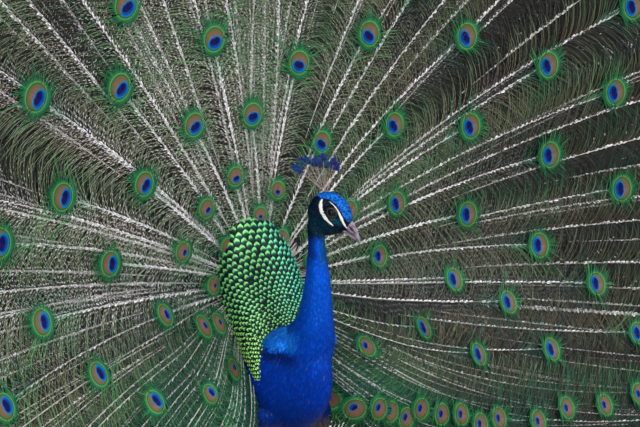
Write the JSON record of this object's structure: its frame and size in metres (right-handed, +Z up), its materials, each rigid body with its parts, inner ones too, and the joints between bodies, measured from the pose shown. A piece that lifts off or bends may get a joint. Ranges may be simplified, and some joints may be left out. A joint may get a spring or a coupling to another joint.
{
  "type": "life-size peafowl model",
  "caption": "Indian peafowl cock standing still in full display, with an upright crest, raised scaled back and the long eyed train spread in an upright dished fan.",
  "frame": {"origin": "on the floor, under the middle of the bird's width and depth", "axes": "+Z up, -Y the way the bird heads, +X its left side and the widest way across the fan"},
  "size_m": [2.505, 0.5022, 1.87],
  "materials": {
    "skin_blue": "smooth iridescent blue contour feathers over the body",
    "back_scales": "overlapping bronze-green scale feathers with a metallic sheen",
    "train_feather": "long loose green and bronze feathers with eyespots",
    "tail_feather": "stiff dull brown tail feathers",
    "wing_feather": "barred buff shoulder feathers and rufous flight feathers",
    "dark_down": "soft dark brown down",
    "thigh_feather": "soft buff feathers over the thigh",
    "crest_feather": "bare shafts with small blue-green tips",
    "bill_horn": "pinkish grey horn, semi matt",
    "eye_gloss": "glossy dark brown eye",
    "leg_scute": "grey-brown horny scutes and claws"
  },
  "bodies": {
    "root": {"head": "skin_blue", "neck_upper": "skin_blue", "neck_lower": "skin_blue", "trunk": "skin_blue", "back_shield": "back_scales", "bill_upper": "bill_horn", "bill_lower": "bill_horn", "eye_left": "eye_gloss", "eye_right": "eye_gloss", "crest": "crest_feather", "tail": "tail_feather", "vent": "dark_down", "wing_left": "wing_feather", "wing_right": "wing_feather", "thigh_left": "thigh_feather", "thigh_right": "thigh_feather", "shank_left": "leg_scute", "shank_right": "leg_scute", "foot_left": "leg_scute", "foot_right": "leg_scute", "train_right_lower": "train_feather", "train_right_side": "train_feather", "train_right_upper": "train_feather", "train_centre": "train_feather", "train_left_upper": "train_feather", "train_left_side": "train_feather", "train_left_lower": "train_feather"}
  },
  "joints": []
}
